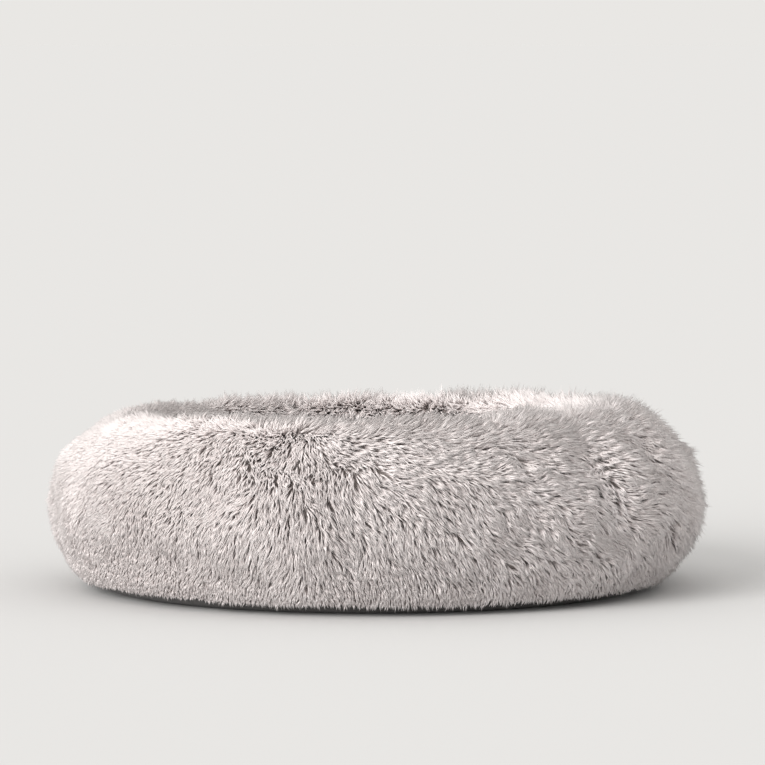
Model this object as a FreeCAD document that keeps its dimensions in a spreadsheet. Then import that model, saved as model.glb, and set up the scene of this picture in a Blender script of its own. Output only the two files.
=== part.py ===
import FreeCAD, Part
import math
import os

import Sketcher
from FreeCAD import Placement, Rotation, Vector

# Round pet cushion bed: a fat stuffed rim round a sunken nest, in a long-pile cover with a rear zip.
# Millimetres. The origin is on the floor under the bed's centre, +Z up, the front towards -Y.
# "Skin" is the cover's cloth: the pile stands outside it, the backing and the fillings are inside it.
# Places round the rim's cross-section are "section angles", in degrees below the level of the lower
# corner's centre. Places round the bed are azimuths, in degrees from +X towards +Y.

SIZES = {
    # the whole bed
    "bed_diameter": 760,
    "bed_height": 229,
    "rim_width": 190,
    "crown_radius": 58,
    "corner_radius": 76,
    # the cover
    "pile_depth": 14,
    "backing": 1.2,
    "seam_angle": 54,
    "strip_azimuth": -46,
    "nest_seam_height": 58,
    "nest_top": 84,
    "nest_crown": 14,
    # the stuffed bags inside it
    "cover_slack": 4.5,
    "liner_wall": 1,
    "layer_gap": 0.3,
    "pad_radius": 200,
    "pad_bottom": 2,
    "pad_side": 25,
    "pad_top": 64,
    # sewing
    "thread_radius": 0.5,
    "binding_thickness": 1.5,
    "binding_reach": 5,
    "label_width": 30,
    "label_length": 12,
    "label_thickness": 0.5,
    "label_azimuth": 6,
    # the zip, which lies along the rim's lower corner at the back
    "zip_angle": 40,
    "zip_azimuth": 14,
    "zip_span": 110,
    "slot_reach": 11.5,
    "tape_reach": 10.5,
    "tape_outside": 0.3,
    "tape_inside": 0.9,
    "coil_reach": 2.4,
    "coil_height": 2.2,
    "chain_gap": 0.7,
    "tape_margin": 0.3,
    "coil_margin": 1.5,
    "stop_reach": 2.7,
    "stop_height": 2.8,
    "stop_span": 0.6,
    "stop_margin": 0.6,
    # the slider and its pull
    "slider_azimuth": 19.5,
    "slider_length": 12,
    "slider_width": 10,
    "slider_corner": 2.5,
    "plate_thickness": 1,
    "plate_outside": 2.8,
    "plate_inside": 1.5,
    "flange_width": 1.1,
    "flange_drop": 2.4,
    "post_start": 2.5,
    "post_length": 2.4,
    "post_width": 0.9,
    "bridge_length": 7.6,
    "bridge_width": 2,
    "bridge_height": 4.4,
    "bridge_bar": 1.2,
    "pin_height": 5.2,
    "pin_radius": 0.8,
    "pull_length": 22,
    "pull_width": 7,
    "pull_thickness": 1.6,
    "eye_width": 2.8,
    "eye_length": 5.2,
    "grip_slot_width": 2.4,
    "grip_slot_start": 10,
    "grip_slot_end": 18.5,
}

# Lengths that follow from the driving sizes, as expressions for the sketches.
BED_RADIUS = "Size.bed_diameter / 2"
RIM_CENTRE = "(Size.bed_diameter - Size.rim_width) / 2"
CROWN_CENTRE = "Size.bed_height - Size.pile_depth - Size.crown_radius"
CORNER_CENTRE = f"{BED_RADIUS} - Size.pile_depth - Size.corner_radius"
INNER_CORNER_CENTRE = f"{BED_RADIUS} - Size.rim_width + Size.pile_depth + Size.corner_radius"
NEST_WALL = f"{BED_RADIUS} - Size.rim_width"
LINER_INSET = "Size.backing + Size.cover_slack"
FILLING_INSET = f"{LINER_INSET} + Size.liner_wall + Size.layer_gap"
CLEAR_OF_PILE = "Size.corner_radius + 3 * Size.pile_depth"

HALF_TURN = 180
FULL_TURN = 360

# The sub-parts that are two of the same thing.
PAIRED = ("rim_seam_thread", "zip_end_stops")

doc = FreeCAD.newDocument("pet_cushion_bed")
sheet = doc.addObject("Spreadsheet::Sheet", "Size")
for row, (alias, number) in enumerate(SIZES.items(), start=1):
    sheet.set(f"A{row}", alias)
    sheet.set(f"B{row}", str(number))
    sheet.setAlias(f"B{row}", alias)
doc.recompute()

sub_parts = []


def value(expression):
    """The number that an expression on the sheet gives now."""
    return float(sheet.evalExpression(expression))


def new_body(label):
    body = doc.addObject("PartDesign::Body", label)
    body.Label = label
    sub_parts.append(body)
    return body


def new_sketch(body, plane, name, offset=None):
    """A sketch on one of the body's own origin planes, moved along or turned about it by offset."""
    sketch = body.newObject("Sketcher::SketchObject", name)
    origin_plane = next(f for f in body.Origin.OriginFeatures if f.Role == plane)
    sketch.AttachmentSupport = [(origin_plane, "")]
    sketch.MapMode = "FlatFace"
    if offset is not None:
        sketch.AttachmentOffset = offset
    return sketch


def lift(expression):
    """An attachment offset along the sketch plane's normal."""
    return Placement(Vector(0, 0, value(expression)), Rotation())


def rule(sketch, *terms):
    sketch.addConstraint(Sketcher.Constraint(*terms))


def size(sketch, expression, *terms):
    """A dimension of the sketch, tied to the sheet."""
    index = sketch.addConstraint(Sketcher.Constraint(*terms, value(expression)))
    sketch.setExpression(f"Constraints[{index}]", expression)


def turn(sketch, expression, *terms):
    """An angle of the sketch in degrees, tied to the sheet."""
    index = sketch.addConstraint(Sketcher.Constraint(*terms, math.radians(value(expression))))
    sketch.setExpression(f"Constraints[{index}]", f"({expression}) * 1 deg")


def line(sketch, start, end):
    return sketch.addGeometry(Part.LineSegment(Vector(*start, 0), Vector(*end, 0)))


def arc(sketch, centre, radius, start_angle, end_angle):
    circle = Part.Circle(Vector(*centre, 0), Vector(0, 0, 1), radius)
    return sketch.addGeometry(Part.ArcOfCircle(circle, math.radians(start_angle), math.radians(end_angle)))


def revolve(body, sketch, kind="PartDesign::Revolution", span=str(FULL_TURN)):
    """Turns the sketch about the bed's axis, adding to the body, or cutting if kind is a groove."""
    feature = body.newObject(kind, f"{sketch.Name}_turned")
    feature.Profile = sketch
    feature.ReferenceAxis = (sketch, ["V_Axis"])
    feature.setExpression("Angle", f"({span}) * 1 deg")
    sketch.Visibility = False
    doc.recompute()
    return feature


def pad(body, sketch, length, symmetric=False, reverse=False):
    feature = body.newObject("PartDesign::Pad", f"{sketch.Name}_pad")
    feature.Profile = sketch
    feature.setExpression("Length", length)
    feature.Midplane = symmetric
    feature.Reversed = reverse
    doc.recompute()
    return feature


def face_azimuth(body, expression):
    """Turns a finished body about the bed's axis so that its first face stands at that azimuth."""
    body.Placement = Placement(Vector(0, 0, 0), Rotation(Vector(0, 0, 1), value(expression)))


# ---------------------------------------------------------------- the rim's cross-section

def side_radius():
    """The skin's radius down the rim's sides, where an arc from the corner's top meets the crown."""
    half_width = value("Size.rim_width / 2 - Size.pile_depth")
    rise = value(CROWN_CENTRE) - value("Size.corner_radius")
    crown = value("Size.crown_radius")
    return (half_width ** 2 + rise ** 2 - crown ** 2) / (2 * (half_width - crown))


def side_end_angle():
    """The angle above level at which the side's arc meets the crown's."""
    rise = value(CROWN_CENTRE) - value("Size.corner_radius")
    return math.degrees(math.asin(rise / (side_radius() - value("Size.crown_radius"))))


def section_loop(sketch, inset):
    """The rim's closed outline, inset from the skin: an egg shape, widest low down, flat at its foot."""
    crown_radius = f"Size.crown_radius - ({inset})"
    corner_radius = f"Size.corner_radius - ({inset})"
    top, low = value(crown_radius), value(corner_radius)
    side = side_radius() - value(inset)
    middle, crown_z = value(RIM_CENTRE), value(CROWN_CENTRE)
    corner_z = value("Size.corner_radius")
    outer_x, inner_x = value(CORNER_CENTRE), value(INNER_CORNER_CENTRE)
    join = side_end_angle()

    outer_corner = arc(sketch, (outer_x, corner_z), low, -90, 0)
    outer_side = arc(sketch, (outer_x + low - side, corner_z), side, 0, join)
    crown = arc(sketch, (middle, crown_z), top, join, HALF_TURN - join)
    inner_side = arc(sketch, (inner_x - low + side, corner_z), side, HALF_TURN - join, HALF_TURN)
    inner_corner = arc(sketch, (inner_x, corner_z), low, HALF_TURN, HALF_TURN + 90)
    foot = line(sketch, (inner_x, corner_z - low), (outer_x, corner_z - low))

    loop = [outer_corner, outer_side, crown, inner_side, inner_corner, foot]
    for edge, following in zip(loop, loop[1:] + loop[:1]):
        rule(sketch, "Tangent", edge, 2, following, 1)
    size(sketch, RIM_CENTRE, "DistanceX", -1, 1, crown, 3)
    size(sketch, CROWN_CENTRE, "DistanceY", -1, 1, crown, 3)
    size(sketch, crown_radius, "Radius", crown)
    for edge in (outer_side, inner_side):
        size(sketch, "Size.corner_radius", "DistanceY", -1, 1, edge, 3)
    for edge, centre_x in ((outer_corner, CORNER_CENTRE), (inner_corner, INNER_CORNER_CENTRE)):
        size(sketch, centre_x, "DistanceX", -1, 1, edge, 3)
        size(sketch, "Size.corner_radius", "DistanceY", -1, 1, edge, 3)
        size(sketch, corner_radius, "Radius", edge)


def corner_band(sketch, outer_inset, inner_inset, low_angle, high_angle):
    """A strip of the rim's lower corner between two insets and two section angles."""
    outer_radius = f"Size.corner_radius - ({outer_inset})"
    inner_radius = f"Size.corner_radius - ({inner_inset})"
    centre = (value(CORNER_CENTRE), value("Size.corner_radius"))
    low, high = value(low_angle), value(high_angle)

    def at(radius, angle):
        reach = Vector(math.cos(math.radians(angle)), -math.sin(math.radians(angle)), 0) * value(radius)
        return (centre[0] + reach.x, centre[1] + reach.y)

    outer_arc = arc(sketch, centre, value(outer_radius), -low, -high)
    high_end = line(sketch, at(outer_radius, high), at(inner_radius, high))
    inner_arc = arc(sketch, centre, value(inner_radius), -low, -high)
    low_end = line(sketch, at(inner_radius, low), at(outer_radius, low))

    rule(sketch, "Coincident", outer_arc, 2, high_end, 1)
    rule(sketch, "Coincident", high_end, 2, inner_arc, 2)
    rule(sketch, "Coincident", inner_arc, 1, low_end, 1)
    rule(sketch, "Coincident", low_end, 2, outer_arc, 1)
    rule(sketch, "Coincident", inner_arc, 3, outer_arc, 3)
    size(sketch, CORNER_CENTRE, "DistanceX", -1, 1, outer_arc, 3)
    size(sketch, "Size.corner_radius", "DistanceY", -1, 1, outer_arc, 3)
    size(sketch, outer_radius, "Radius", outer_arc)
    size(sketch, inner_radius, "Radius", inner_arc)
    rule(sketch, "PointOnObject", outer_arc, 3, high_end)
    rule(sketch, "PointOnObject", outer_arc, 3, low_end)
    turn(sketch, f"-({low_angle})", "Angle", low_end)
    turn(sketch, f"({low_angle}) - ({high_angle})", "Angle", outer_arc)


def ring_band(label, outer_inset, inner_inset, low_angle, high_angle, azimuth, span):
    """A body that carries a strip of the lower corner round part or all of the bed."""
    body = new_body(label)
    sketch = new_sketch(body, "XZ_Plane", f"{label}_section")
    corner_band(sketch, outer_inset, inner_inset, low_angle, high_angle)
    revolve(body, sketch, span=span)
    face_azimuth(body, azimuth)
    return body


# ---------------------------------------------------------------- the cover

def underside_outline(sketch):
    """What is cut away under the rim's fur: all below the base seam and below the nest seam."""
    centre = (value(CORNER_CENTRE), value("Size.corner_radius"))
    angle = math.radians(value("Size.seam_angle"))
    beyond = value(CLEAR_OF_PILE)
    ray_end = (centre[0] + beyond * math.cos(angle), centre[1] - beyond * math.sin(angle))
    nest_side = value(f"{NEST_WALL} - Size.pile_depth")
    seam_z = value("Size.nest_seam_height")
    corners = [centre, ray_end, (nest_side, ray_end[1]), (nest_side, seam_z), (value(RIM_CENTRE), seam_z)]
    edges = [line(sketch, a, b) for a, b in zip(corners, corners[1:] + corners[:1])]
    for edge, following in zip(edges, edges[1:] + edges[:1]):
        rule(sketch, "Coincident", edge, 2, following, 1)
    size(sketch, CORNER_CENTRE, "DistanceX", -1, 1, edges[0], 1)
    size(sketch, "Size.corner_radius", "DistanceY", -1, 1, edges[0], 1)
    turn(sketch, "-Size.seam_angle", "Angle", edges[0])
    size(sketch, CLEAR_OF_PILE, "Distance", edges[0])
    rule(sketch, "Horizontal", edges[1])
    rule(sketch, "Vertical", edges[2])
    rule(sketch, "Horizontal", edges[3])
    size(sketch, f"{NEST_WALL} - Size.pile_depth", "DistanceX", -1, 1, edges[3], 1)
    size(sketch, "Size.nest_seam_height", "DistanceY", -1, 1, edges[3], 1)
    size(sketch, RIM_CENTRE, "DistanceX", -1, 1, edges[3], 2)


def rim_fur(label, azimuth):
    """One of the two lengths of long-pile fur that make the rim: backing and pile, half a turn."""
    body = new_body(label)
    section = new_sketch(body, "XZ_Plane", f"{label}_section")
    section_loop(section, "-Size.pile_depth")
    section_loop(section, "Size.backing")
    whole = revolve(body, section, span=str(HALF_TURN))
    volume = whole.Shape.Volume
    underside = new_sketch(body, "XZ_Plane", f"{label}_underside")
    underside_outline(underside)
    opened = revolve(body, underside, "PartDesign::Groove", str(HALF_TURN))
    assert opened.Shape.Volume < volume, f"{label}: the underside was not cut"
    face_azimuth(body, azimuth)
    return body


def zip_slot(body, strip_azimuth):
    """The gap in the fur's lower edge that the zip lies in."""
    volume = body.Shape.Volume
    start = value(f"Size.zip_azimuth - ({strip_azimuth})")
    turned = Placement(Vector(0, 0, 0), Rotation(Vector(0, 1, 0), start))
    slot = new_sketch(body, "XZ_Plane", f"{body.Name}_zip_slot", turned)
    corner_band(
        slot,
        "-2 * Size.pile_depth",
        "2 * Size.backing",
        "Size.seam_angle + Size.tape_reach / 2",
        "Size.zip_angle - Size.slot_reach",
    )
    revolve(body, slot, "PartDesign::Groove", "Size.zip_span")
    assert body.Shape.Volume < volume, "the zip's slot was not cut"


def nest_fur():
    """The crowned fur disc that the animal lies on."""
    body = new_body("nest_fur")
    sketch = new_sketch(body, "XZ_Plane", "nest_fur_section")
    edge_radius = f"{NEST_WALL} - Size.layer_gap"
    thickness = "Size.pile_depth + Size.backing"
    reach, crown = value(edge_radius), value("Size.nest_crown")
    top_z, wall = value("Size.nest_top"), value(thickness)
    sphere = (reach ** 2 + crown ** 2) / (2 * crown)
    centre_z = top_z - sphere
    under = sphere - wall
    under_edge_z = centre_z + math.sqrt(under ** 2 - reach ** 2)
    top_edge_angle = math.degrees(math.acos(reach / sphere))
    under_edge_angle = math.degrees(math.acos(reach / under))

    underside = arc(sketch, (0, centre_z), under, under_edge_angle, 90)
    axis = line(sketch, (0, top_z - wall), (0, top_z))
    top = arc(sketch, (0, centre_z), sphere, top_edge_angle, 90)
    edge = line(sketch, (reach, under_edge_z), (reach, top_z - crown))

    rule(sketch, "Coincident", underside, 2, axis, 1)
    rule(sketch, "Coincident", axis, 2, top, 2)
    rule(sketch, "Coincident", top, 1, edge, 2)
    rule(sketch, "Coincident", edge, 1, underside, 1)
    rule(sketch, "Coincident", underside, 3, top, 3)
    rule(sketch, "PointOnObject", top, 3, -2)
    rule(sketch, "PointOnObject", axis, 1, -2)
    rule(sketch, "PointOnObject", axis, 2, -2)
    rule(sketch, "Vertical", edge)
    size(sketch, edge_radius, "DistanceX", -1, 1, edge, 2)
    size(sketch, "Size.nest_top", "DistanceY", -1, 1, axis, 2)
    size(sketch, thickness, "DistanceY", axis, 1, axis, 2)
    size(sketch, "Size.nest_crown", "DistanceY", top, 1, top, 2)
    revolve(body, sketch)


def base_fabric():
    """The non-slip cloth disc that the bed stands on, turned up round its edge to the base seam."""
    body = new_body("base_fabric")
    sketch = new_sketch(body, "XZ_Plane", "base_fabric_section")
    centre = (value(CORNER_CENTRE), value("Size.corner_radius"))
    radius, wall = value("Size.corner_radius"), value("Size.backing")
    angle = math.radians(value("Size.seam_angle"))
    rim = Vector(math.cos(angle), -math.sin(angle), 0)

    floor = line(sketch, (0, 0), (centre[0], 0))
    outer_arc = arc(sketch, centre, radius, -90, -value("Size.seam_angle"))
    hem = line(
        sketch,
        (centre[0] + rim.x * radius, centre[1] + rim.y * radius),
        (centre[0] + rim.x * (radius - wall), centre[1] + rim.y * (radius - wall)),
    )
    inner_arc = arc(sketch, centre, radius - wall, -90, -value("Size.seam_angle"))
    inside = line(sketch, (centre[0], wall), (0, wall))
    axis = line(sketch, (0, wall), (0, 0))

    rule(sketch, "Coincident", -1, 1, floor, 1)
    rule(sketch, "Horizontal", floor)
    rule(sketch, "Tangent", floor, 2, outer_arc, 1)
    rule(sketch, "Coincident", outer_arc, 2, hem, 1)
    rule(sketch, "Coincident", hem, 2, inner_arc, 2)
    rule(sketch, "Tangent", inner_arc, 1, inside, 1)
    rule(sketch, "Coincident", inside, 2, axis, 1)
    rule(sketch, "Coincident", axis, 2, floor, 1)
    rule(sketch, "Horizontal", inside)
    rule(sketch, "Vertical", axis)
    rule(sketch, "Coincident", inner_arc, 3, outer_arc, 3)
    rule(sketch, "PointOnObject", outer_arc, 3, hem)
    size(sketch, CORNER_CENTRE, "DistanceX", -1, 1, outer_arc, 3)
    size(sketch, "Size.corner_radius", "Radius", outer_arc)
    size(sketch, "Size.corner_radius - Size.backing", "Radius", inner_arc)
    turn(sketch, "90 - Size.seam_angle", "Angle", outer_arc)
    revolve(body, sketch)


# ---------------------------------------------------------------- the stuffed bags

def rim_bag():
    """The rim's inner bag and the fibre in it."""
    liner = new_body("rim_liner")
    wall = new_sketch(liner, "XZ_Plane", "rim_liner_section")
    section_loop(wall, LINER_INSET)
    section_loop(wall, f"{LINER_INSET} + Size.liner_wall")
    revolve(liner, wall)
    filling = new_body("rim_filling")
    core = new_sketch(filling, "XZ_Plane", "rim_filling_section")
    section_loop(core, FILLING_INSET)
    revolve(filling, core)


def pad_loop(sketch, inset):
    """The nest cushion's half outline: flat below, round at the side, crowned on top."""
    side_radius = f"Size.pad_side - ({inset})"
    top_height = f"Size.pad_top - ({inset})"
    side_x, side_z = "Size.pad_radius - Size.pad_side", "Size.pad_bottom + Size.pad_side"
    across, middle = value(side_x), value(side_z)
    small, top = value(side_radius), value(top_height)
    rise = top - middle
    large = (across ** 2 + rise ** 2 - small ** 2) / (2 * (rise - small))
    join = math.degrees(math.atan2(middle - (top - large), across))

    bottom = line(sketch, (0, middle - small), (across, middle - small))
    side = arc(sketch, (across, middle), small, -90, join)
    crown = arc(sketch, (0, top - large), large, join, 90)
    axis = line(sketch, (0, top), (0, middle - small))

    rule(sketch, "Horizontal", bottom)
    rule(sketch, "Tangent", bottom, 2, side, 1)
    rule(sketch, "Tangent", side, 2, crown, 1)
    rule(sketch, "Coincident", crown, 2, axis, 1)
    rule(sketch, "Coincident", axis, 2, bottom, 1)
    rule(sketch, "PointOnObject", bottom, 1, -2)
    rule(sketch, "PointOnObject", axis, 1, -2)
    rule(sketch, "PointOnObject", crown, 3, -2)
    size(sketch, side_x, "DistanceX", -1, 1, side, 3)
    size(sketch, side_z, "DistanceY", -1, 1, side, 3)
    size(sketch, side_radius, "Radius", side)
    size(sketch, top_height, "DistanceY", -1, 1, axis, 1)


def nest_bag():
    """The nest cushion's inner bag and the fibre in it."""
    liner = new_body("nest_liner")
    outside = new_sketch(liner, "XZ_Plane", "nest_liner_outside")
    pad_loop(outside, "0")
    revolve(liner, outside)
    hollow = new_sketch(liner, "XZ_Plane", "nest_liner_hollow")
    pad_loop(hollow, "Size.liner_wall")
    revolve(liner, hollow, "PartDesign::Groove")
    filling = new_body("nest_filling")
    core = new_sketch(filling, "XZ_Plane", "nest_filling_section")
    pad_loop(core, "Size.liner_wall + Size.layer_gap")
    revolve(filling, core)


# ---------------------------------------------------------------- the sewing

def thread_ring(label, radius, height):
    ring = doc.addObject("Part::Torus", label)
    ring.Label = label
    ring.setExpression("Radius1", radius)
    ring.setExpression("Radius2", "Size.thread_radius")
    ring.setExpression(".Placement.Base.z", height)
    sub_parts.append(ring)


def rim_seam_thread():
    """The stitching that joins the two lengths of rim fur, just inside the backing at both joins."""
    inset = value("Size.backing + Size.layer_gap + Size.thread_radius")
    middle, crown_z = value(RIM_CENTRE), value(CROWN_CENTRE)
    corner_x, corner_z = value(CORNER_CENTRE), value("Size.corner_radius")
    top, low, side = value("Size.crown_radius") - inset, corner_z - inset, side_radius() - inset
    join = side_end_angle()
    outer_side_x = corner_x + low - side
    inner_side_x = 2 * middle - outer_side_x

    def bend(x, z, radius, *angles):
        """An arc through the points at three angles round a centre."""
        points = [
            Vector(x + radius * math.cos(math.radians(a)), 0, z + radius * math.sin(math.radians(a)))
            for a in angles
        ]
        return Part.Arc(*points).toShape()

    last_angle = value("2 * Size.binding_reach - Size.seam_angle")
    path = Part.Wire([
        bend(inner_side_x, corner_z, side, HALF_TURN, HALF_TURN - join / 2, HALF_TURN - join),
        bend(middle, crown_z, top, HALF_TURN - join, 90, join),
        bend(outer_side_x, corner_z, side, join, join / 2, 0),
        bend(corner_x, corner_z, low, 0, last_angle / 2, last_angle),
    ])
    start = Vector(inner_side_x - side, 0, corner_z)
    tip = Part.Wire([Part.makeCircle(value("Size.thread_radius"), start, Vector(0, 0, 1))])
    stitch = path.makePipeShell([tip], True, False)
    joins = []
    for azimuth in (value("Size.strip_azimuth"), value("Size.strip_azimuth") + HALF_TURN):
        joins.append(stitch.rotated(Vector(0, 0, 0), Vector(0, 0, 1), azimuth))
    feature = doc.addObject("Part::Feature", "rim_seam_thread")
    feature.Label = "rim_seam_thread"
    feature.Shape = Part.makeCompound(joins)
    sub_parts.append(feature)


def corner_placement(azimuth, angle):
    """The frame on the skin at an azimuth and section angle: x along the rim, y up it, z out of it."""
    around, below = math.radians(azimuth), math.radians(angle)
    outward = Vector(math.cos(around), math.sin(around), 0)
    along = Vector(-math.sin(around), math.cos(around), 0)
    up = Vector(0, 0, 1)
    normal = outward * math.cos(below) - up * math.sin(below)
    across = outward * math.sin(below) + up * math.cos(below)
    radius = value("Size.corner_radius")
    point = outward * value(CORNER_CENTRE) + up * radius + normal * radius
    return Placement(point, Rotation(along, across, normal, "XYZ"))


def care_label():
    """A blank fabric tag sewn into the base seam, lying along the fur's lower edge."""
    label = doc.addObject("Part::Box", "care_label")
    label.Label = "care_label"
    label.setExpression("Length", "Size.label_width")
    label.setExpression("Width", "Size.label_thickness")
    label.setExpression("Height", "Size.label_length")
    seat = corner_placement(value("Size.label_azimuth"), value("Size.seam_angle"))
    own = Vector(-value("Size.label_width") / 2, -value("Size.label_thickness + 2 * Size.layer_gap"), 0)
    label.Placement = seat.multiply(Placement(own, Rotation()))
    sub_parts.append(label)


def sewing():
    binding_outside = "Size.backing + Size.layer_gap"
    binding_inside = f"{binding_outside} + Size.binding_thickness"
    ring_band(
        "base_seam_binding",
        binding_outside,
        binding_inside,
        "Size.seam_angle + Size.binding_reach",
        "Size.seam_angle - Size.binding_reach",
        "0",
        str(FULL_TURN),
    )
    reach = f"(Size.corner_radius - ({binding_inside}) - Size.layer_gap - Size.thread_radius)"
    thread_ring(
        "base_seam_thread",
        f"{CORNER_CENTRE} + {reach} * cos(Size.seam_angle * 1 deg)",
        f"Size.corner_radius - {reach} * sin(Size.seam_angle * 1 deg)",
    )
    thread_ring(
        "nest_seam_thread",
        f"{NEST_WALL} + Size.pile_depth / 2",
        "Size.nest_seam_height - Size.layer_gap - Size.thread_radius",
    )
    rim_seam_thread()
    care_label()


# ---------------------------------------------------------------- the zip

def zip_band(label, outer_inset, inner_inset, near, far, margin, up):
    """One side of the zip chain: a strip from near to far degrees above or below its centre line."""
    angles = [f"Size.zip_angle + {far}", f"Size.zip_angle + {near}"]
    if up:
        angles = [f"Size.zip_angle - {near}", f"Size.zip_angle - {far}"]
    azimuth = f"Size.zip_azimuth + {margin}"
    span = f"Size.zip_span - 2 * {margin}"
    return ring_band(label, outer_inset, inner_inset, angles[0], angles[1], azimuth, span)


def zip_chain():
    for side, up in (("upper", True), ("lower", False)):
        zip_band(
            f"zip_{side}_tape",
            "Size.tape_outside",
            "Size.tape_inside",
            "Size.chain_gap",
            "Size.tape_reach",
            "Size.tape_margin",
            up,
        )
        zip_band(
            f"zip_{side}_coil",
            "-Size.coil_height",
            "0",
            "Size.chain_gap",
            "Size.coil_reach",
            "Size.coil_margin",
            up,
        )


def zip_end_stops():
    """The two metal clips that the slider comes up against, one at each end of the coils."""
    clips = []
    starts = {
        "first": "Size.zip_azimuth + Size.stop_margin",
        "last": "Size.zip_azimuth + Size.zip_span - Size.stop_margin - Size.stop_span",
    }
    for name, azimuth in starts.items():
        clips.append(ring_band(
            f"{name}_stop",
            "-Size.stop_height",
            "0",
            "Size.zip_angle + Size.stop_reach",
            "Size.zip_angle - Size.stop_reach",
            azimuth,
            "Size.stop_span",
        ))
        sub_parts.remove(clips[-1])
    both = doc.addObject("Part::Compound", "zip_end_stops")
    both.Label = "zip_end_stops"
    both.Links = clips
    sub_parts.append(both)


def rectangle(sketch, left, bottom, right, top):
    """A rectangle whose four sides are tied to expressions for its edges' coordinates."""
    x0, y0, x1, y1 = (value(edge) for edge in (left, bottom, right, top))
    corners = [(x0, y0), (x1, y0), (x1, y1), (x0, y1)]
    edges = [line(sketch, a, b) for a, b in zip(corners, corners[1:] + corners[:1])]
    for edge, following in zip(edges, edges[1:] + edges[:1]):
        rule(sketch, "Coincident", edge, 2, following, 1)
    for edge, direction in zip(edges, ("Horizontal", "Vertical") * 2):
        rule(sketch, direction, edge)
    size(sketch, left, "DistanceX", -1, 1, edges[0], 1)
    size(sketch, bottom, "DistanceY", -1, 1, edges[0], 1)
    size(sketch, right, "DistanceX", -1, 1, edges[1], 2)
    size(sketch, top, "DistanceY", -1, 1, edges[1], 2)


def block(body, name, plane, offset, edges, length, symmetric=False, reverse=False):
    """Pads a rectangle, given as expressions for its left, bottom, right and top edges."""
    sketch = new_sketch(body, plane, name, lift(offset))
    rectangle(sketch, *edges)
    return pad(body, sketch, length, symmetric, reverse)


def round_corners(body, name, radius, chosen):
    """Rounds the edges of the body's shape that the test picks out."""
    tip = body.Tip
    names = [f"Edge{i}" for i, edge in enumerate(tip.Shape.Edges, start=1) if chosen(edge)]
    fillet = body.newObject("PartDesign::Fillet", name)
    fillet.Base = (tip, names)
    fillet.setExpression("Radius", radius)
    doc.recompute()


def seat_on_zip(body, height="0"):
    """Stands a body on the zip's centre line at the slider's azimuth, lifted off the skin by height."""
    frame = corner_placement(value("Size.slider_azimuth"), value("Size.zip_angle"))
    body.Placement = frame.multiply(Placement(Vector(0, 0, value(height)), Rotation()))


def zip_slider():
    """Two plates either side of the chain, a post between the coils and a bridge for the pull."""
    body = new_body("zip_slider")
    half_length, half_width = "Size.slider_length / 2", "Size.slider_width / 2"
    plan = [f"-{half_length}", f"-{half_width}", half_length, half_width]
    post = [
        "Size.post_start",
        "-Size.post_width / 2",
        "Size.post_start + Size.post_length",
        "Size.post_width / 2",
    ]
    block(body, "outer_plate", "XY_Plane", "Size.plate_outside", plan, "Size.plate_thickness")
    block(body, "post", "XY_Plane", "-Size.plate_inside", post, "Size.plate_outside + Size.plate_inside")
    block(body, "inner_plate", "XY_Plane", "-Size.plate_inside", plan, "Size.plate_thickness", reverse=True)
    round_corners(
        body,
        "plate_corners",
        "Size.slider_corner",
        lambda edge: abs(edge.BoundBox.Center.y) > value(half_width) - 0.01
        and abs(edge.BoundBox.Center.x) > value(half_length) - 0.01,
    )
    flange_sides = {
        "upper_flange": ("Size.slider_width / 2 - Size.flange_width", "Size.slider_width / 2"),
        "lower_flange": ("-Size.slider_width / 2", "-Size.slider_width / 2 + Size.flange_width"),
    }
    flange_end = f"{half_length} - Size.slider_corner"
    for name, (near, far) in flange_sides.items():
        edges = [f"-({flange_end})", near, flange_end, far]
        block(body, name, "XY_Plane", "Size.plate_outside", edges, "Size.flange_drop", reverse=True)
    bridge_foot = "Size.plate_outside + Size.plate_thickness"
    bridge_top = f"{bridge_foot} + Size.bridge_height"
    bridge_root = "Size.plate_outside + Size.plate_thickness / 2"
    half_bridge = "Size.bridge_length / 2"
    arch = new_sketch(body, "XZ_Plane", "bridge")
    rectangle(arch, f"-{half_bridge}", bridge_root, half_bridge, bridge_top)
    rectangle(
        arch,
        f"-({half_bridge} - Size.bridge_bar)",
        bridge_foot,
        f"{half_bridge} - Size.bridge_bar",
        f"{bridge_top} - Size.bridge_bar",
    )
    pad(body, arch, "Size.bridge_width", symmetric=True)
    return body


def zip_pull():
    """The tab that is gripped, hanging straight out from its pin under the slider's bridge."""
    body = new_body("zip_pull")
    pin = new_sketch(body, "XZ_Plane", "pin")
    circle = pin.addGeometry(Part.Circle(Vector(0, 0, 0), Vector(0, 0, 1), value("Size.pin_radius")))
    rule(pin, "Coincident", circle, 3, -1, 1)
    size(pin, "Size.pin_radius", "Radius", circle)
    pad(body, pin, "Size.pull_width", symmetric=True)

    tab = new_sketch(body, "YZ_Plane", "tab")
    rectangle(tab, "-Size.pull_width / 2", "0", "Size.pull_width / 2", "Size.pull_length")
    rectangle(tab, "-Size.eye_width / 2", "Size.pin_radius / 2", "Size.eye_width / 2", "Size.eye_length")
    rectangle(
        tab,
        "-Size.grip_slot_width / 2",
        "Size.grip_slot_start",
        "Size.grip_slot_width / 2",
        "Size.grip_slot_end",
    )
    pad(body, tab, "Size.pull_thickness", symmetric=True)
    far_end = value("Size.pull_length") - 0.01
    round_corners(
        body,
        "tab_end",
        "Size.slider_corner",
        lambda edge: edge.BoundBox.ZMin > far_end and edge.BoundBox.YLength < 0.01,
    )
    return body


# ---------------------------------------------------------------- the whole bed

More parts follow.
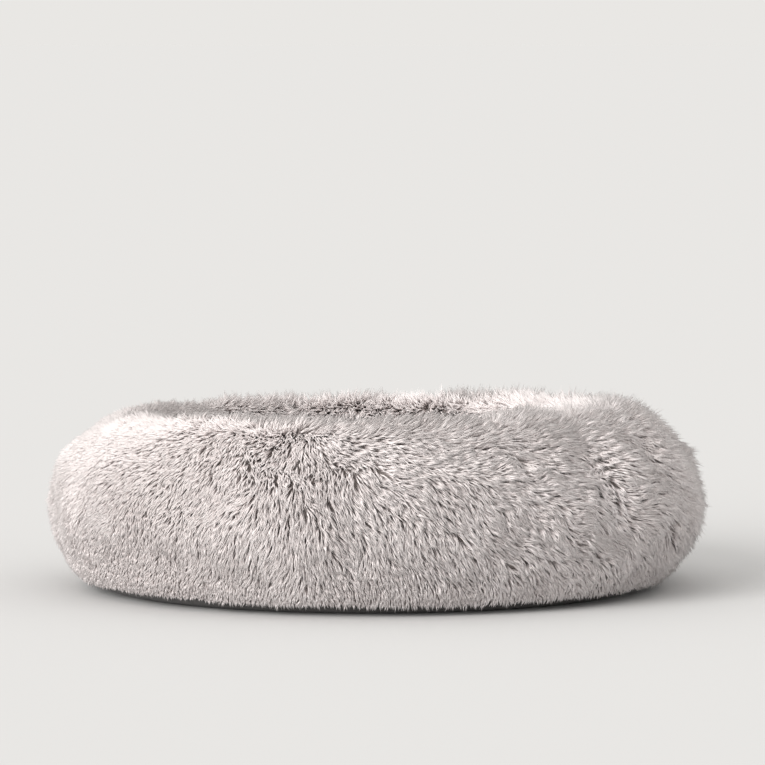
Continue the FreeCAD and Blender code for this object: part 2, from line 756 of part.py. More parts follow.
rim_fur("rim_fur_front", f"Size.strip_azimuth + {HALF_TURN}")
rear_fur = rim_fur("rim_fur_back", "Size.strip_azimuth")
zip_slot(rear_fur, "Size.strip_azimuth")
nest_fur()
base_fabric()
rim_bag()
nest_bag()
sewing()
zip_chain()
zip_end_stops()
seat_on_zip(zip_slider())
seat_on_zip(zip_pull(), "Size.pin_height")
doc.recompute()

for item in doc.Objects:
    faults = {"Invalid", "Error"} & set(item.State)
    assert not faults, f"{item.Label}: {item.State}"
    if item.TypeId == "Sketcher::SketchObject":
        assert item.FullyConstrained, f"{item.Label} is not fully constrained"
for item in sub_parts:
    assert not item.Shape.isNull(), f"{item.Label} has no shape"
    assert item.Shape.isValid(), f"{item.Label} is not valid"
    assert len(item.Shape.Solids) == (2 if item.Label in PAIRED else 1), f"{item.Label}: stray solids"

os.makedirs("parts", exist_ok=True)
for item in sub_parts:
    item.Shape.exportStep(os.path.join("parts", f"{item.Label}.step"))
    print(f"{item.Label}: {item.Shape.Volume / 1000:.2f} cm3, {len(item.Shape.Solids)} solid(s)")
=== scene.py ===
import math

import bpy
import numpy as np
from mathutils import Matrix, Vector


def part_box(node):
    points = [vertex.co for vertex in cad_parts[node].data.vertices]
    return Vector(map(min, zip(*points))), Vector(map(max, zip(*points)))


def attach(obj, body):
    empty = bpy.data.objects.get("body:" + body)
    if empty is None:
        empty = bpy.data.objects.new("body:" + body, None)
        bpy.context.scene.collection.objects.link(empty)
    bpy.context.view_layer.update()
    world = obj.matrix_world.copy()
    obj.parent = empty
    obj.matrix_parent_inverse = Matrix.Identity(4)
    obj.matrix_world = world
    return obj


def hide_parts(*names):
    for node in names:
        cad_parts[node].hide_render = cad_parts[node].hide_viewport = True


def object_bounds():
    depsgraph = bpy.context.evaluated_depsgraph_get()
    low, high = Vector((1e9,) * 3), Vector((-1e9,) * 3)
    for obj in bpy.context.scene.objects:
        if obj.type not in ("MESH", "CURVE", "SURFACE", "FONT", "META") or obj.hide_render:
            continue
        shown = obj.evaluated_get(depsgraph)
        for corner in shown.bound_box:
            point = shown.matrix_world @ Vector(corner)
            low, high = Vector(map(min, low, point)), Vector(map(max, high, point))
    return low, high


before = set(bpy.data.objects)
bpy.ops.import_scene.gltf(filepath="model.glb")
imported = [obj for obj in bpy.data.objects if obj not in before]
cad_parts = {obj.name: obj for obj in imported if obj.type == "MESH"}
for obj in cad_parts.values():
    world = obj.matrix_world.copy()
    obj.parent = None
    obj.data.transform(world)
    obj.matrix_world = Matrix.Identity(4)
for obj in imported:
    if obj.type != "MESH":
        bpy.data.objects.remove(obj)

# A round shaggy pet bed, in metres. A place on the rim is given by its azimuth, in radians from +X
# towards +Y, and its run, which is the length along the rim's cross-section from the foot, up the
# outside, over the crest and down to the nest.

CAD_BOX = [[float(x) for x in corner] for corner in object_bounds()]
FULL_TURN = 2 * math.pi
ROOT = "bed"

# ---------------------------------------------------------------- sizes

BED_RADIUS = CAD_BOX[1][0]
NEST_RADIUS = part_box("nest_fur")[1][0]
NEST_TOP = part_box("nest_fur")[1][2]
NEST_SEAM_HEIGHT = (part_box("nest_seam_thread")[0][2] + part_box("nest_seam_thread")[1][2]) / 2
NEST_SEAM_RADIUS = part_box("nest_seam_thread")[1][0]
LINER_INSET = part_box("rim_liner")[0][2]
FILLING_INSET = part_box("rim_filling")[0][2]
SKIN_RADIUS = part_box("rim_liner")[1][0] + LINER_INSET
SKIN_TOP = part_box("rim_liner")[1][2] + LINER_INSET
PILE = BED_RADIUS - SKIN_RADIUS
INNER_SKIN = NEST_RADIUS + PILE

CLOTH = 0.0012
BAG_CLOTH = 0.001
FIBRE_GAP = 0.0035
CROWN_RADIUS = 0.058
CORNER_RADIUS = 0.076
RIM_MIDDLE = 0.285
HALF_WIDTH = SKIN_RADIUS - RIM_MIDDLE
CORNER_CENTRE = SKIN_RADIUS - CORNER_RADIUS

SEAM_ANGLE = math.radians(54)
JOIN_AZIMUTH = math.radians(-46)
ZIP_ANGLE = math.radians(40)
ZIP_START = math.radians(14)
ZIP_END = math.radians(124)
ZIP_MIDDLE = (ZIP_START + ZIP_END) / 2
ZIP_HALF = (ZIP_END - ZIP_START) / 2
ZIP_SLOT_REACH = math.radians(11.5)
COIL_MIDDLE = math.radians(1.55)
COIL_HEIGHT = 0.0022
COIL_MARGIN = math.radians(1.5)

# How the stuffed rim differs from a new one: the crown has settled, its shoulders are slimmer, a tuck
# runs round it above the base seam, and the joins of its two lengths are gathered.
SETTLE = 0.955
SHOULDER_SLIMMING = 0.3
SHOULDER_START = 0.145
SHOULDER_FULL = 0.19
TUCK_DEPTH = 0.008
TUCK_HEIGHT = 0.058
TUCK_WIDTH = 0.026
FRONT_GATHER = 0.009
BACK_GATHER = 0.004
GATHER_WIDTH = 0.02
FLOOR_CLEARANCE = 0.0015

RING_STEPS = 384
SECTION_STEPS = 96


def smooth(x, low, high):
    """0 below low, 1 above high, and an easy curve between."""
    t = np.clip((x - low) / (high - low), 0, 1)
    return t * t * (3 - 2 * t)


def waves(points, wavelength, seed, count=24):
    """A smooth random field over points in space, mostly from -1.5 to 1.5. Each field has its own seed."""
    rng = np.random.default_rng(seed)
    heading = rng.normal(size=(count, 3))
    heading /= np.linalg.norm(heading, axis=1)[:, None]
    pitch = FULL_TURN / (wavelength * rng.uniform(0.7, 1.5, count))
    phase = rng.uniform(0, FULL_TURN, count)
    return np.sin(points @ (heading * pitch[:, None]).T + phase).sum(axis=-1) * math.sqrt(2 / count)


def unit(vectors):
    """The vectors at a length of 1."""
    return vectors / np.maximum(np.linalg.norm(vectors, axis=-1, keepdims=True), 1e-12)


def turn_between(azimuth, other):
    """The signed angle from other to azimuth, from -pi to pi."""
    return (azimuth - other + math.pi) % FULL_TURN - math.pi


def corner_point(azimuth, angle, out=0.0):
    """A point on the rim's lower outer corner, that angle below level and that far off the skin."""
    reach = CORNER_RADIUS + out
    radius = CORNER_CENTRE + reach * np.cos(angle)
    height = CORNER_RADIUS - reach * np.sin(angle)
    return np.stack([radius * np.cos(azimuth), radius * np.sin(azimuth), height + 0 * azimuth], axis=-1)


# ---------------------------------------------------------------- the rim's skin

def section_arcs():
    """The skin's section as arcs: (centre radius, centre height, arc radius, start angle, end angle)."""
    crown_height = SKIN_TOP - CROWN_RADIUS
    rise = crown_height - CORNER_RADIUS
    side = (HALF_WIDTH ** 2 + rise ** 2 - CROWN_RADIUS ** 2) / (2 * (HALF_WIDTH - CROWN_RADIUS))
    join = math.asin(rise / (side - CROWN_RADIUS))
    quarter = math.pi / 2
    return [
        (CORNER_CENTRE, CORNER_RADIUS, CORNER_RADIUS, -quarter, 0),
        (SKIN_RADIUS - side, CORNER_RADIUS, side, 0, join),
        (RIM_MIDDLE, crown_height, CROWN_RADIUS, join, math.pi - join),
        (INNER_SKIN + side, CORNER_RADIUS, side, math.pi - join, math.pi),
        (INNER_SKIN + CORNER_RADIUS, CORNER_RADIUS, CORNER_RADIUS, math.pi, math.pi + quarter),
    ]


def section_line():
    """Evenly spaced points (radius, height) round the section, the run of each, and the whole length."""
    dense = []
    for x, z, radius, start, end in section_arcs():
        angles = np.linspace(start, end, 200)
        dense.append(np.stack([x + radius * np.cos(angles), z + radius * np.sin(angles)], axis=1))
    dense = np.concatenate(dense + [dense[0][:1]])
    travel = np.concatenate([[0], np.cumsum(np.linalg.norm(np.diff(dense, axis=0), axis=1))])
    runs = np.arange(SECTION_STEPS) * travel[-1] / SECTION_STEPS
    points = np.stack([np.interp(runs, travel, dense[:, k]) for k in (0, 1)], axis=1)
    return points, runs, travel[-1]


SECTION, RUNS, WHOLE_RUN = section_line()
CREST = RUNS[np.argmax(SECTION[:, 1])]
BASE_SEAM = CORNER_RADIUS * (math.pi / 2 - SEAM_ANGLE)
SLOT_TOP = CORNER_RADIUS * (math.pi / 2 - ZIP_ANGLE + ZIP_SLOT_REACH)
NEST_SEAM = 2 * CREST - CORNER_RADIUS * math.acos(1 - NEST_SEAM_HEIGHT / CORNER_RADIUS)


def crest_lift(azimuth):
    """How much higher the crest stands at an azimuth: low at the back left, high at the front right."""
    return 0.006 * np.cos(azimuth + 0.9) + 0.003 * np.cos(3 * azimuth + 0.6)


def away_from_zip(azimuth):
    """0 along the zip and 1 well clear of it."""
    return smooth(np.abs(turn_between(azimuth, ZIP_MIDDLE)), ZIP_HALF, ZIP_HALF + 0.3)


def ring_grid():
    """The skin as points, ring steps by section steps, before it is stuffed."""
    azimuths = np.arange(RING_STEPS) * FULL_TURN / RING_STEPS
    above = np.maximum(SECTION[:, 1] - CORNER_RADIUS, 0)
    height = SECTION[:, 1] - above * (1 - SETTLE)
    slimming = 1 - SHOULDER_SLIMMING * smooth(height, SHOULDER_START, SHOULDER_FULL)
    radius = RIM_MIDDLE + (SECTION[:, 0] - RIM_MIDDLE) * slimming
    outside = SECTION[:, 0] > RIM_MIDDLE
    tuck = TUCK_DEPTH * outside * np.exp(-((SECTION[:, 1] - TUCK_HEIGHT) / TUCK_WIDTH) ** 2)
    radius = radius - tuck * away_from_zip(azimuths)[:, None]
    share = above / above.max()
    grid = np.empty((RING_STEPS, SECTION_STEPS, 3))
    grid[:, :, 0] = np.cos(azimuths)[:, None] * radius
    grid[:, :, 1] = np.sin(azimuths)[:, None] * radius
    grid[:, :, 2] = height + crest_lift(azimuths)[:, None] * share
    return grid


def grid_normals(grid):
    """Outward unit normals of a ring grid."""
    around = np.roll(grid, -1, axis=0) - np.roll(grid, 1, axis=0)
    up = np.roll(grid, -1, axis=1) - np.roll(grid, 1, axis=1)
    return unit(np.cross(around, up))


def blur(grid, rounds):
    """Evens out a ring grid with its neighbours, that many times."""
    for _ in range(rounds):
        for axis in (0, 1):
            grid = grid / 2 + (np.roll(grid, 1, axis) + np.roll(grid, -1, axis)) / 4
    return grid


def ring_faces(rows, columns):
    """Outward quads of a grid closed both ways."""
    row, column = np.meshgrid(np.arange(rows), np.arange(columns), indexing="ij")
    next_row, next_column = (row + 1) % rows, (column + 1) % columns
    corners = [(row, column), (next_row, column), (next_row, next_column), (row, next_column)]
    return np.stack([r * columns + c for r, c in corners], axis=-1).reshape(-1, 4)


def sheet_faces(rows, columns):
    """Quads of an open grid."""
    index = np.arange(rows * columns).reshape(rows, columns)
    corners = [index[:-1, :-1], index[1:, :-1], index[1:, 1:], index[:-1, 1:]]
    return np.stack(corners, axis=-1).reshape(-1, 4)


def inflate(start, faces, held, growth, furthest):
    """Blows cloth up against its held points by simulation, and returns where its points go.

    The cloth is cut larger than its start by the growth, and no point goes further than furthest."""
    mesh = bpy.data.meshes.new("stuffing")
    mesh.from_pydata(start.tolist(), [], faces.tolist())
    cloth = bpy.data.objects.new("stuffing", mesh)
    bpy.context.scene.collection.objects.link(cloth)
    cloth.vertex_groups.new(name="held").add(held.tolist(), 1.0, "REPLACE")
    modifier = cloth.modifiers.new("stuffing", "CLOTH")
    settings = modifier.settings
    settings.quality = 4
    settings.mass = 0.3
    settings.use_pressure = True
    settings.uniform_pressure_force = 4.0
    settings.vertex_group_mass = "held"
    settings.shrink_min = -growth
    settings.effector_weights.gravity = 0
    settings.bending_stiffness = 1.5
    modifier.collision_settings.use_collision = False
    for step in range(1, 19):
        bpy.context.scene.frame_set(step)
    flat = np.empty(len(start) * 3)
    evaluated = cloth.evaluated_get(bpy.context.evaluated_depsgraph_get())
    evaluated.data.vertices.foreach_get("co", flat)
    bpy.context.scene.frame_set(1)
    bpy.data.objects.remove(cloth)
    bpy.data.meshes.remove(mesh)
    moved = flat.reshape(-1, 3) - start
    reach = np.linalg.norm(moved, axis=1, keepdims=True)
    return start + moved * np.minimum(1, furthest / np.maximum(reach, 1e-9))


def stuffed(grid):
    """The rim after its cloth has been blown up between the slot for the zip and the nest seam."""
    slack = 0.006
    start = grid - grid_normals(grid) * slack
    rows = np.nonzero((RUNS < SLOT_TOP) | (RUNS > NEST_SEAM))[0]
    start[:, rows] = grid[:, rows]
    held = (np.arange(RING_STEPS)[:, None] * SECTION_STEPS + rows).ravel()
    faces = ring_faces(RING_STEPS, SECTION_STEPS)
    return inflate(start.reshape(-1, 3), faces, held, growth=0.04, furthest=0.011).reshape(grid.shape)


def lumps(grid):
    """The uneven filling, and the gathers where the two lengths of fur are joined."""
    azimuth = np.arctan2(grid[..., 1], grid[..., 0])
    upper = smooth(grid[..., 2], 0.03, 0.09)
    swell = 0.0032 * waves(grid, 0.22, 3) + 0.0014 * waves(grid, 0.08, 4)
    gather = 0
    for join, depth in ((JOIN_AZIMUTH, FRONT_GATHER), (JOIN_AZIMUTH + math.pi, BACK_GATHER)):
        across = turn_between(azimuth, join) * RIM_MIDDLE - 0.008 * waves(grid, 0.12, 5)
        gather = gather - depth * np.exp(-(across / GATHER_WIDTH) ** 2)
        gather = gather + 0.5 * depth * np.exp(-((across - 2.5 * GATHER_WIDTH) / (1.5 * GATHER_WIDTH)) ** 2)
    return grid + grid_normals(grid) * ((swell + gather) * upper)[..., None]


def rim_skin():
    """The rim's cloth as a ring grid: stuffed, lumpy and just clear of the floor."""
    grid = ring_grid()
    grid = blur(stuffed(grid), 1)
    grid = lumps(grid)
    grid[..., 2] = np.maximum(grid[..., 2], FLOOR_CLEARANCE)
    return grid


def pick(field, azimuth, run):
    """Reads a ring grid between its points."""
    across = (azimuth / FULL_TURN * RING_STEPS) % RING_STEPS
    along = (run / WHOLE_RUN * SECTION_STEPS) % SECTION_STEPS
    row, column = across.astype(int) % RING_STEPS, along.astype(int) % SECTION_STEPS
    x, y = (across - across.astype(int))[..., None], (along - along.astype(int))[..., None]
    next_row, next_column = (row + 1) % RING_STEPS, (column + 1) % SECTION_STEPS
    low = field[row, column] * (1 - x) + field[next_row, column] * x
    high = field[row, next_column] * (1 - x) + field[next_row, next_column] * x
    return low * (1 - y) + high * y


# ---------------------------------------------------------------- the nest's skin

NEST_RINGS = 36
NEST_STEPS = 120


def nest_height(points):
    """The nest cloth's height: a soft crown with the hollows that lying in it leaves."""
    radius = np.linalg.norm(points, axis=1)
    flat = np.column_stack([points, np.zeros(len(points))])
    crown = NEST_TOP - PILE - 0.010 * (radius / NEST_SEAM_RADIUS) ** 2
    edge = smooth(radius, NEST_SEAM_RADIUS - 0.035, NEST_SEAM_RADIUS)
    height = crown + 0.0028 * waves(flat, 0.16, 41) + 0.0012 * waves(flat, 0.05, 42)
    return height * (1 - edge) + NEST_SEAM_HEIGHT * edge


# ---------------------------------------------------------------- the pile

# A strand has a ring of corners at every station but the last, which is its tip. Each of its rings is
# as wide as the taper says. Tufts of strands lean together into locks.
STRAND_SIDES = 3
STATIONS = np.array([0, 0.5, 1.0])
TAPER = np.array([1.0, 0.85])
BEND_STEPS = 12
RIM_PILE_LENGTH = 0.025
NEST_PILE_LENGTH = 0.028
TUFT_SPACING = 0.0031
ROW_SPACING = TUFT_SPACING * 0.95
TUFT_RADIUS = 0.0014
STRANDS_IN_TUFT = 3
STRAND_RADIUS = 0.00066
LOCK_SPACING = 0.0085
TONES = 64
SECTORS = 12
PILE_CLEARANCE = 0.0008


def strand_faces():
    """The corners of one strand's faces: a cap at its root, its sides and its tip."""
    faces = [[2, 1, 0]]
    last = (len(TAPER) - 1) * STRAND_SIDES
    for side in range(STRAND_SIDES):
        beside = (side + 1) % STRAND_SIDES
        for ring in range(0, last, STRAND_SIDES):
            above = ring + STRAND_SIDES
            faces.append([ring + side, ring + beside, above + beside, above + side])
        faces.append([last + side, last + beside, last + STRAND_SIDES])
    return faces


def strand_mesh(name, spines, normals, radii, tones):
    """Closed tapering strands along their spines, as one mesh. U tells a strand's tone, V root to tip."""
    count = len(spines)
    ahead = unit(np.gradient(spines, axis=1))
    side = unit(np.cross(ahead, normals[:, None]))
    lift = np.cross(side, ahead)
    angles = np.arange(STRAND_SIDES) * FULL_TURN / STRAND_SIDES
    width = (radii[:, None] * TAPER)[..., None]
    rings = spines[:, :-1, None] + side[:, :-1, None] * (width * np.cos(angles))[..., None]
    rings = rings + lift[:, :-1, None] * (width * np.sin(angles))[..., None]
    corners = np.concatenate([rings.reshape(count, -1, 3), spines[:, -1:]], axis=1)

    pattern = strand_faces()
    flat = np.concatenate(pattern)
    sizes = np.tile([len(face) for face in pattern], count)
    loops = (flat + np.arange(count)[:, None] * corners.shape[1]).ravel()

    mesh = bpy.data.meshes.new(name)
    mesh.vertices.add(count * corners.shape[1])
    mesh.vertices.foreach_set("co", corners.ravel())
    mesh.loops.add(len(loops))
    mesh.loops.foreach_set("vertex_index", loops.astype(np.int32))
    mesh.polygons.add(len(sizes))
    mesh.polygons.foreach_set("loop_start", np.concatenate([[0], np.cumsum(sizes)[:-1]]).astype(np.int32))
    mesh.update(calc_edges=True)

    ring = flat // STRAND_SIDES
    at_tip = ring == len(TAPER)
    inside = np.where(at_tip, 0.5, 0.15 + 0.7 * (flat % STRAND_SIDES) / (STRAND_SIDES - 1))
    column = np.floor(np.clip(tones, 0, 0.999) * TONES)
    uv = np.empty((count, len(flat), 2))
    uv[..., 0] = (column[:, None] + inside) / TONES
    uv[..., 1] = 0.01 + 0.98 * STATIONS[ring]
    layer = mesh.uv_layers.new(name="OFBake")
    layer.data.foreach_set("uv", uv.ravel())
    mesh.validate()
    mesh.shade_smooth()
    return mesh


def grow(rng, tufts):
    """Spines of every strand of each tuft: they rise, bend over along the comb and draw to a point.

    A tuft's leans are angles from the normal, its sweep turns it aside, its clump is how far its strands
    draw together, and to_lock is how far its tip moves to the middle of its lock."""
    roots, normals, comb = tufts["roots"], tufts["normals"], tufts["comb"]
    across = np.cross(normals, comb)
    shape = (len(roots), STRANDS_IN_TUFT)
    spot = rng.uniform(0, FULL_TURN, shape)
    reach = TUFT_RADIUS * np.sqrt(rng.uniform(0, 1, shape))
    scatter = (reach * np.cos(spot))[..., None] * comb[:, None]
    scatter = scatter + (reach * np.sin(spot))[..., None] * across[:, None]
    length = tufts["length"][:, None] * rng.uniform(0.7, 1.06, shape)
    stray = rng.normal(0, 0.0011, shape + (3,))

    position = np.zeros(shape + (3,))
    stops = [position]
    for step in range(BEND_STEPS):
        t = (step + 0.5) / BEND_STEPS
        lean = (tufts["lean_start"] + (tufts["lean_end"] - tufts["lean_start"]) * t ** 0.7)[:, None, None]
        turn = (tufts["sweep"] * t)[:, None, None]
        along = comb[:, None] * np.cos(turn) + across[:, None] * np.sin(turn)
        heading = normals[:, None] * np.cos(lean) + along * np.sin(lean)
        position = position + heading * (length / BEND_STEPS)[..., None]
        if (step + 1) / BEND_STEPS in STATIONS:
            stops.append(position)
    spines = np.stack(stops, axis=2) + roots[:, None, None]
    gather = 1 - tufts["clump"][:, None] * STATIONS ** 0.9
    spines += scatter[:, :, None] * gather[:, None, :, None]
    spines += stray[:, :, None] * (STATIONS ** 1.3)[:, None]
    spines += tufts["to_lock"][:, None, None] * (STATIONS ** 1.2)[:, None]
    return spines.reshape(-1, len(STATIONS), 3)


def lock_middles(rng, places):
    """The middle of the lock that each tuft belongs to: the nearest of a scatter of points."""
    corner = places.min(axis=0) - LOCK_SPACING
    cell = ((places - corner) / LOCK_SPACING).astype(int)
    scatter = rng.uniform(0, 1, (*(cell.max(axis=0) + 2), 2))
    nearest = np.full(len(places), np.inf)
    middles = places.copy()
    for step in np.ndindex(3, 3):
        beside = cell + step - 1
        middle = corner + (beside + scatter[beside[:, 0], beside[:, 1]]) * LOCK_SPACING
        gap = np.linalg.norm(places - middle, axis=1)
        closer = gap < nearest
        nearest[closer] = gap[closer]
        middles[closer] = middle[closer]
    return middles


def add_pile(rng, tufts, spines, group, names):
    """Makes one piece for each name from the tufts whose group has its number."""
    per = STRANDS_IN_TUFT
    tones = np.repeat(tufts["tone"], per) + rng.normal(0, 0.07, len(spines))
    radii = STRAND_RADIUS * np.repeat(tufts["girth"], per) * rng.uniform(0.75, 1.25, len(spines))
    normals = np.repeat(tufts["normals"], per, axis=0)
    group = np.repeat(group, per)
    for number, name in enumerate(names):
        own = group == number
        mesh = strand_mesh(name, spines[own], normals[own], radii[own], tones[own])
        add_piece(mesh, pile_material())


def rim_spots(rng):
    """Where the rim's tufts stand: even, but not in rows, and clear of the slot for the zip."""
    azimuths, runs = [], []
    rows = int((NEST_SEAM - BASE_SEAM) / ROW_SPACING)
    for row in range(rows):
        run = BASE_SEAM + (row + 0.5) * (NEST_SEAM - BASE_SEAM) / rows
        count = int(FULL_TURN * np.interp(run, RUNS, SECTION[:, 0]) / TUFT_SPACING)
        spread = rng.uniform(-0.5, 0.5, (2, count))
        azimuths.append((np.arange(count) + rng.uniform() + spread[0]) * FULL_TURN / count)
        runs.append(run + spread[1] * TUFT_SPACING)
    azimuth, run = np.concatenate(azimuths) % FULL_TURN, np.concatenate(runs)
    in_slot = (azimuth > ZIP_START) & (azimuth < ZIP_END) & (run < SLOT_TOP)
    kept = (run > BASE_SEAM) & (run < NEST_SEAM) & ~in_slot
    return azimuth[kept], run[kept]


# The pile parts along the crest. It fans out from a whorl below the parting, widely to the right of it
# and hardly to the left. At the left it is brushed short and smooth, and at the right it is ragged.
WHORL_AZIMUTH = math.radians(-111)
WHORL_DROP = 0.020
FAN_RIGHT = 0.62
FAN_LEFT = 0.05
RIDGES_AZIMUTH = math.radians(-24)
HEM_HEIGHT = 0.09


def ridges(azimuth, run):
    """The upright curls of pile round the right-hand end, as a field that runs up and down the rim."""
    curled = np.exp(-(turn_between(azimuth, RIDGES_AZIMUTH) / 0.5) ** 2)
    places = np.column_stack([azimuth * RIM_MIDDLE, 0.3 * run, 0 * run])
    return curled * waves(places, 0.02, 19)


def comb_turn(azimuth, run, roots):
    """How far the pile is combed round from straight down, in radians towards +azimuth.

    It fans out from a whorl at the front, and curls into upright ridges round the right-hand end."""
    away = turn_between(azimuth, WHORL_AZIMUTH)
    sideways = np.sin(away) * BED_RADIUS * np.where(away > 0, FAN_RIGHT, FAN_LEFT)
    fan = np.arctan2(sideways, np.abs(CREST - WHORL_DROP - run) + 0.03)
    fan = fan * smooth(run, BASE_SEAM - 0.02, BASE_SEAM + HEM_HEIGHT) * (0.55 + 0.45 * np.cos(away))
    rough = 1 + 0.9 * smooth(roots[:, 0], 0.02, 0.2) * (roots[:, 1] < 0)
    ruffle = 0.18 * waves(roots, 0.10, 11) + 0.14 * waves(roots, 0.035, 12) + 0.10 * waves(roots, 0.014, 15)
    return fan + ruffle * rough + 0.5 * ridges(azimuth, run)


def rim_comb(rng, azimuth, run, roots, normal):
    """Which way each tuft on the rim is combed, and how near it stands below the parting, 0 to 1."""
    count = len(azimuth)
    around = np.stack([-np.sin(azimuth), np.cos(azimuth), np.zeros(count)], axis=1)
    at_whorl = np.exp(-(turn_between(azimuth, WHORL_AZIMUTH) / 0.7) ** 2)
    parting = CREST - WHORL_DROP * at_whorl + 0.008 * waves(roots, 0.12, 17)
    tousled = rng.normal(0, 1, count) * (0.020 - 0.014 * at_whorl)
    side = np.tanh((parting - run + tousled) / 0.004)
    below = smooth(run, parting - 0.14, parting - 0.02)
    down = unit(np.cross(around, normal)) * side[:, None]
    turn = comb_turn(azimuth, run, roots) + rng.normal(0, 0.12, count)
    comb = down * np.cos(turn)[:, None] + around * np.sin(turn)[:, None]
    return unit(comb - normal * (comb * normal).sum(axis=1, keepdims=True) + 1e-6), below


def rim_tufts(rng, grid, normals):
    """The tufts on the rim: where they stand, and how long, flat, gathered, thick and pale they are."""
    azimuth, run = rim_spots(rng)
    count = len(azimuth)
    roots, normal = pick(grid, azimuth, run), unit(pick(normals, azimuth, run))
    comb, below = rim_comb(rng, azimuth, run, roots, normal)

    # Each of these goes from 0 to 1: at the crest, to the left, to the right, above the hem, where the
    # lowest pile lifts off the floor in patches, over the zip, and just past the ends of its slot.
    crown = np.exp(-((CREST - run) / 0.03) ** 2)
    brushed = smooth(-roots[:, 0], 0.06, 0.26)
    ragged = smooth(roots[:, 0], 0.02, 0.18)
    hem = smooth(run, BASE_SEAM, BASE_SEAM + HEM_HEIGHT)
    lowest = 1 - smooth(run, BASE_SEAM, BASE_SEAM + 0.03)
    lifted = lowest * smooth(waves(roots * [1, 1, 0], 0.16, 18), -0.4, 0.6)
    past_end = np.abs(turn_between(azimuth, ZIP_MIDDLE)) - ZIP_HALF
    near_zip = (1 - smooth(past_end, 0.02, 0.12)) * (1 - smooth(run, SLOT_TOP + 0.01, SLOT_TOP + 0.05))
    slot_end = (1 - smooth(past_end, 0, 0.07)) * (run < SLOT_TOP)

    middles = lock_middles(rng, np.column_stack([azimuth * RIM_MIDDLE, run]))
    to_lock = pick(grid, middles[:, 0] / RIM_MIDDLE, middles[:, 1]) - roots
    pull = (0.50 + 0.30 * ragged) * (1 - brushed) * (1 - near_zip) * hem
    length = RIM_PILE_LENGTH * (0.38 + 0.62 * hem)
    length = length * (1 + 0.16 * crown - 0.42 * brushed - 0.3 * lifted + 0.06 * ragged)
    length = length * (1 - 0.42 * near_zip - 0.3 * slot_end)
    lean_start = 0.46 + 0.15 * slot_end + 0.38 * below - 0.40 * crown
    lean_end = 1.16 + 0.24 * below - (0.36 + 0.2 * ragged) * crown - 0.10 * brushed - 0.4 * lifted
    lean_end = lean_end + 0.18 * ridges(azimuth, run) + 0.14 * waves(roots, 0.05, 13)
    lean_end = lean_end + (0.10 + 0.11 * ragged) * waves(roots, 0.016, 16)
    patchy = 0.12 * waves(roots, 0.06, 14)
    return {
        "azimuth": azimuth,
        "to_lock": to_lock * pull[:, None],
        "roots": roots,
        "normals": normal,
        "comb": comb,
        "length": length * rng.uniform(0.86, 1.12, count),
        "lean_start": lean_start + rng.normal(0, 0.10, count),
        "lean_end": lean_end + rng.normal(0, 0.14, count),
        "sweep": rng.normal(0, 0.22, count),
        "clump": 0.84 - 0.70 * brushed,
        "girth": 1 + 0.25 * brushed,
        # The tone is lowered at the left, where the key light falls full on the pile, as painted shade; the
        # rest of it varies at random from lock to lock.
        "tone": 0.55 - 0.30 * brushed + (patchy + rng.normal(0, 0.20, count)) * (1 - 0.7 * brushed),
    }


def build_rim_pile(grid, normals):
    """The pile on the rim's two lengths of fur, each in sectors from join to join."""
    rng = np.random.default_rng(21)
    tufts = rim_tufts(rng, grid, normals)
    spines = grow(rng, tufts)
    spines[..., 2] = np.maximum(spines[..., 2], PILE_CLEARANCE)
    group = (turn_between(tufts["azimuth"], JOIN_AZIMUTH) % FULL_TURN / math.pi * SECTORS).astype(int)
    names = [f"rim_pile_{half}_{n + 1}" for half in ("back", "front") for n in range(SECTORS)]
    add_pile(rng, tufts, spines, group, names)


def nest_tufts(rng):
    """The tufts on the nest's disc, combed in swirls."""
    reach = NEST_SEAM_RADIUS + 0.004
    steps = int(2 * reach / TUFT_SPACING)
    cells = np.stack(np.meshgrid(np.arange(steps), np.arange(steps)), axis=-1).reshape(-1, 2)
    points = ((cells + rng.uniform(0, 1, cells.shape)) / steps * 2 - 1) * reach
    points = points[np.linalg.norm(points, axis=1) < reach]
    count = len(points)
    roots = np.column_stack([points, nest_height(points)])
    nudge = 0.002
    slope_x = (nest_height(points + [nudge, 0]) - roots[:, 2]) / nudge
    slope_y = (nest_height(points + [0, nudge]) - roots[:, 2]) / nudge
    normal = unit(np.column_stack([-slope_x, -slope_y, np.ones(count)]))
    swirl = 1.1 * waves(roots, 0.30, 31) + 0.5 * waves(roots, 0.06, 32) + rng.normal(0, 0.15, count)
    flat = np.column_stack([np.cos(swirl), np.sin(swirl), np.zeros(count)])
    middles = lock_middles(rng, points)
    to_lock = np.column_stack([middles - points, np.zeros(count)])
    return {
        "roots": roots,
        "to_lock": 0.35 * to_lock,
        "normals": normal,
        "comb": unit(flat - normal * (flat * normal).sum(axis=1, keepdims=True)),
        "length": NEST_PILE_LENGTH * rng.uniform(0.85, 1.12, count),
        "lean_start": 0.55 + rng.normal(0, 0.1, count),
        "lean_end": 1.30 + 0.16 * waves(roots, 0.05, 33) + rng.normal(0, 0.1, count),
        "sweep": rng.normal(0, 0.22, count),
        "clump": np.full(count, 0.86),
        "girth": np.ones(count),
        "tone": 0.5 + 0.12 * waves(roots, 0.06, 34) + rng.normal(0, 0.16, count),
    }


def build_nest_pile():
    """The pile on the nest's disc, ruffled this way and that as an animal leaves it."""
    rng = np.random.default_rng(22)
    tufts = nest_tufts(rng)
    spines = grow(rng, tufts)
    group = (tufts["roots"][:, 0] > 0) * 2 + (tufts["roots"][:, 1] > 0)
    names = [f"nest_pile_{x}_{y}" for x in ("left", "right") for y in ("front", "back")]
    add_pile(rng, tufts, spines, group, names)


# ---------------------------------------------------------------- materials

# The length of one band of the wave texture at a scale of 1.
WAVE_LENGTH = 0.314


def new_material(name):
    """A new node material, its tree and its shader."""
    material = bpy.data.materials.new(name)
    material.use_nodes = True
    tree = material.node_tree
    return material, tree, tree.nodes["Principled BSDF"]


